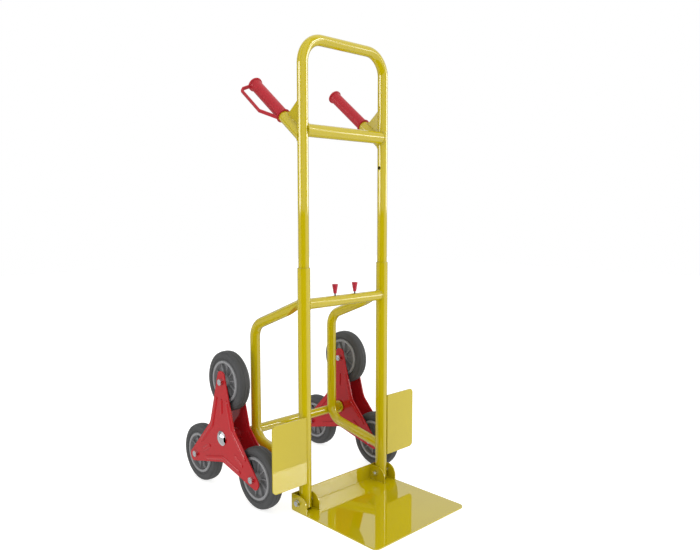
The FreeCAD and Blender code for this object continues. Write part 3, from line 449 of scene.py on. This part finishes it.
def pressed_bead(bm, route, half, height, place):
    run = [0.0]
    for a, b in zip(route, route[1:]):
        run.append(run[-1] + (b - a).length)
    rows = []
    across = [math.sin(math.radians(q)) for q in range(-90, 91, 12)]
    for i, c in enumerate(route):
        d = min(run[i], run[-1] - run[i])
        a, b = route[max(0, i - 1)], route[min(len(route) - 1, i + 1)]
        t = (b - a).normalized()
        side = Vector((-t.y, t.x))
        f = min(1.0, d / half)
        w = half * math.sqrt(max(0.0016, 1.0 - (1.0 - f) ** 2))
        row = []
        for u in across:
            h = height * (max(0.0, 1.0 - u * u) ** 0.75) * min(1.0, 0.02 + 1.6 * f - 0.6 * f * f) - 0.12
            q = c + side * (w * u)
            row.append(bm.verts.new(place(q.x, q.y, h)))
        rows.append(row)
    for r0, r1 in zip(rows, rows[1:]):
        for j in range(len(across) - 1):
            bm.faces.new((r0[j], r0[j + 1], r1[j + 1], r1[j]))


for side, s in SIDES:
    bm = bmesh.new()

    def place(u, v, h, s=s):
        return (0.001 * s * (241.2 + h), AXLE[0] + 0.001 * s * u, AXLE[1] + 0.001 * v)

    for arm in (90, 210, 330):
        bend = [on_arm(arm, 106.5, 23.2), on_arm(arm + 60, 53.0, 0), on_arm(arm + 120, 106.5, -23.2)]
        pressed_bead(bm, rounded_route(bend), 6.4, 2.75, place)
        pressed_bead(bm, rounded_route([on_arm(arm, 65.5, 0), on_arm(arm, 108.0, 0)]), 6.2, 2.75, place)
    bmesh.ops.recalc_face_normals(bm, faces=bm.faces[:])
    mesh = bpy.data.meshes.new("pressed_beads_" + side)
    bm.to_mesh(mesh)
    bm.free()
    if mesh.polygons[len(mesh.polygons) // 2].normal.x * s < 0:
        mesh.flip_normals()
    for f in mesh.polygons:
        f.use_smooth = True
    mesh.materials.append(MAT["red_paint"])
    o = bpy.data.objects.new("pressed_beads_" + side, mesh)
    SCENE.collection.objects.link(o)
    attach(o, "cluster_" + side)


# ---------------------------------------------------------------- release knobs
for side, s in SIDES:
    bm = bmesh.new()
    shape = [(0.0, 0.0), (3.2, 0.0), (3.9, 0.35), (4.25, 1.2), (4.5, 3.0), (7.75, 22.6), (7.95, 23.7), (7.8, 24.4), (7.2, 24.75), (0.0, 24.9)]
    count = 56
    rings = []
    for r, z in shape:
        if r == 0.0:
            rings.append([bm.verts.new((0.001 * s * 35.5, 0.001 * MY, 0.001 * (547.4 + z)))])
        else:
            rings.append([bm.verts.new((0.001 * (s * 35.5 + r * math.cos(2 * math.pi * k / count)), 0.001 * (MY + r * math.sin(2 * math.pi * k / count)), 0.001 * (547.4 + z))) for k in range(count)])
    for a, b in zip(rings, rings[1:]):
        for k in range(count):
            k2 = (k + 1) % count
            if len(a) == 1:
                bm.faces.new((a[0], b[k2], b[k]))
            elif len(b) == 1:
                bm.faces.new((a[k], a[k2], b[0]))
            else:
                bm.faces.new((a[k], a[k2], b[k2], b[k]))
    bmesh.ops.recalc_face_normals(bm, faces=bm.faces[:])
    mesh = bpy.data.meshes.new("tapered_knob_" + side)
    bm.to_mesh(mesh)
    bm.free()
    for f in mesh.polygons:
        f.use_smooth = abs(f.normal.z) < 0.95
    mesh.materials.append(MAT["red_knob"])
    o = bpy.data.objects.new("tapered_knob_" + side, mesh)
    SCENE.collection.objects.link(o)
    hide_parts("release_knob_" + side)
    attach(o, "lock_" + side)


# ---------------------------------------------------------------- studio
world = bpy.data.worlds.new("studio")
SCENE.world = world
world.use_nodes = True
wt = world.node_tree
wt.nodes.clear()


def smooth(t, v, a, b):
    r = t.nodes.new("ShaderNodeMapRange")
    r.interpolation_type = "SMOOTHSTEP"
    r.inputs["From Min"].default_value = a
    r.inputs["From Max"].default_value = b
    r.inputs["To Min"].default_value = 0.0
    r.inputs["To Max"].default_value = 1.0
    t.links.new(v, r.inputs["Value"])
    return r.outputs["Result"]


ray = wt.nodes.new("ShaderNodeTexCoord").outputs["Generated"]
xyz = wt.nodes.new("ShaderNodeSeparateXYZ")
wt.links.new(ray, xyz.inputs["Vector"])
flat = math_node(wt, "SQRT", math_node(wt, "ADD", math_node(wt, "MULTIPLY", xyz.outputs["X"], xyz.outputs["X"]), math_node(wt, "MULTIPLY_ADD", xyz.outputs["Y"], xyz.outputs["Y"], 1e-6)))


def around(az, half, soft):
    """1 inside an azimuth window, in degrees from +X towards +Y."""
    a = math.radians(az)
    d = math_node(wt, "ADD", math_node(wt, "MULTIPLY", xyz.outputs["X"], math.cos(a)), math_node(wt, "MULTIPLY", xyz.outputs["Y"], math.sin(a)))
    c = math_node(wt, "DIVIDE", d, flat)
    return smooth(wt, c, math.cos(math.radians(half + soft)), math.cos(math.radians(max(0.0, half - soft))))


def between(lo, hi, soft):
    """1 inside an elevation window, in degrees."""
    up = smooth(wt, xyz.outputs["Z"], math.sin(math.radians(lo - soft)), math.sin(math.radians(lo + soft)))
    dn = smooth(wt, xyz.outputs["Z"], math.sin(math.radians(hi - soft)), math.sin(math.radians(hi + soft)))
    return math_node(wt, "MULTIPLY", up, math_node(wt, "SUBTRACT", 1.0, dn))


def panel(az, half, lo, hi, power, soft=2.0, asoft=3.0):
    return math_node(wt, "MULTIPLY", math_node(wt, "MULTIPLY", around(az, half, asoft), between(lo, hi, soft)), power)


def total(*parts):
    s = parts[0]
    for p in parts[1:]:
        s = math_node(wt, "ADD", s, p)
    return s


above = smooth(wt, xyz.outputs["Z"], -0.004, 0.004)
below = math_node(wt, "SUBTRACT", 1.0, above)
ground = math_node(wt, "SUBTRACT", 1.0, math_node(wt, "ADD", math_node(wt, "MULTIPLY", around(227.0, 43.0, 8.0), 0.97), math_node(wt, "MULTIPLY", around(150.0, 38.0, 10.0), 0.50)))
sky = math_node(wt, "SUBTRACT", 1.0, math_node(wt, "MULTIPLY", total(around(194.0, 8.0, 6.0), around(296.0, 13.0, 6.0), around(118.0, 17.0, 3.0)), 0.7))
panels = total(
    panel(334.0, 21.0, 0.0, 13.0, 5.2, 0.6),
    panel(158.0, 20.0, 0.0, 13.0, 5.2, 0.6),
    panel(308.0, 6.0, 18.5, 27.0, 11.0, 1.5),
)
# in mirrors: a white room with a dim far side, which draws the outlines of the tubes
far = math_node(wt, "SUBTRACT", 1.0, math_node(wt, "MULTIPLY", math_node(wt, "MULTIPLY", around(46.0, 56.0, 14.0), between(-60.0, 15.0, 2.0)), 0.66))
mirror = math_node(wt, "MULTIPLY", far, total(
    math_node(wt, "MULTIPLY", math_node(wt, "MULTIPLY", above, sky), 0.84),
    math_node(wt, "MULTIPLY", math_node(wt, "MULTIPLY", below, ground), 1.0),
    panels,
))
# on matt surfaces: broad light from the front of the room
front = math_node(wt, "MULTIPLY_ADD", around(262.0, 70.0, 45.0), 0.50, 0.62)
soft = total(math_node(wt, "MULTIPLY", above, front), math_node(wt, "MULTIPLY", below, 0.80), math_node(wt, "MULTIPLY", panels, 0.45))
path = wt.nodes.new("ShaderNodeLightPath")
level = math_node(wt, "ADD", math_node(wt, "MULTIPLY", mirror, path.outputs["Is Glossy Ray"]),
                  math_node(wt, "MULTIPLY", soft, math_node(wt, "SUBTRACT", 1.0, path.outputs["Is Glossy Ray"])))
lit = wt.nodes.new("ShaderNodeBackground")
lit.inputs["Color"].default_value = (0.99, 1.0, 1.0, 1.0)
wt.links.new(level, lit.inputs["Strength"])
seen = wt.nodes.new("ShaderNodeBackground")
seen.inputs["Color"].default_value = (1.0, 1.0, 1.0, 1.0)
seen.inputs["Strength"].default_value = 1.0
wm = wt.nodes.new("ShaderNodeMixShader")
wo = wt.nodes.new("ShaderNodeOutputWorld")
wt.links.new(path.outputs["Is Camera Ray"], wm.inputs["Fac"])
wt.links.new(lit.outputs["Background"], wm.inputs[1])
wt.links.new(seen.outputs["Background"], wm.inputs[2])
wt.links.new(wm.outputs["Shader"], wo.inputs["Surface"])
world.cycles.sampling_method = "MANUAL"
world.cycles.sample_map_resolution = 512


def softbox(name, at, aim, size, power, colour=(1.0, 1.0, 1.0)):
    d = bpy.data.lights.new(name, "AREA")
    d.shape = "RECTANGLE"
    d.size, d.size_y = size
    d.energy = power
    d.color = colour
    o = bpy.data.objects.new(name, d)
    o.location = at
    o.rotation_euler = (Vector(aim) - Vector(at)).to_track_quat("-Z", "Y").to_euler()
    SCENE.collection.objects.link(o)
    o.visible_glossy = False
    return o


softbox("overhead", (-0.2, -0.4, 3.4), (0, 0, 0.3), (2.6, 2.6), 30.0)

bpy.ops.mesh.primitive_grid_add(x_subdivisions=8, y_subdivisions=8, size=14.0, location=(0, 0, -0.0005))
floor = bpy.context.object
floor.name = "studio_floor"
fm, ft, fb = material("studio_floor")
fb.inputs["Base Color"].default_value = (0.55, 0.55, 0.547, 1.0)
fb.inputs["Roughness"].default_value = 0.75
fb.inputs["Emission Color"].default_value = (1.0, 1.0, 0.995, 1.0)
fb.inputs["Emission Strength"].default_value = 0.74
floor.data.materials.append(fm)
floor.visible_glossy = False
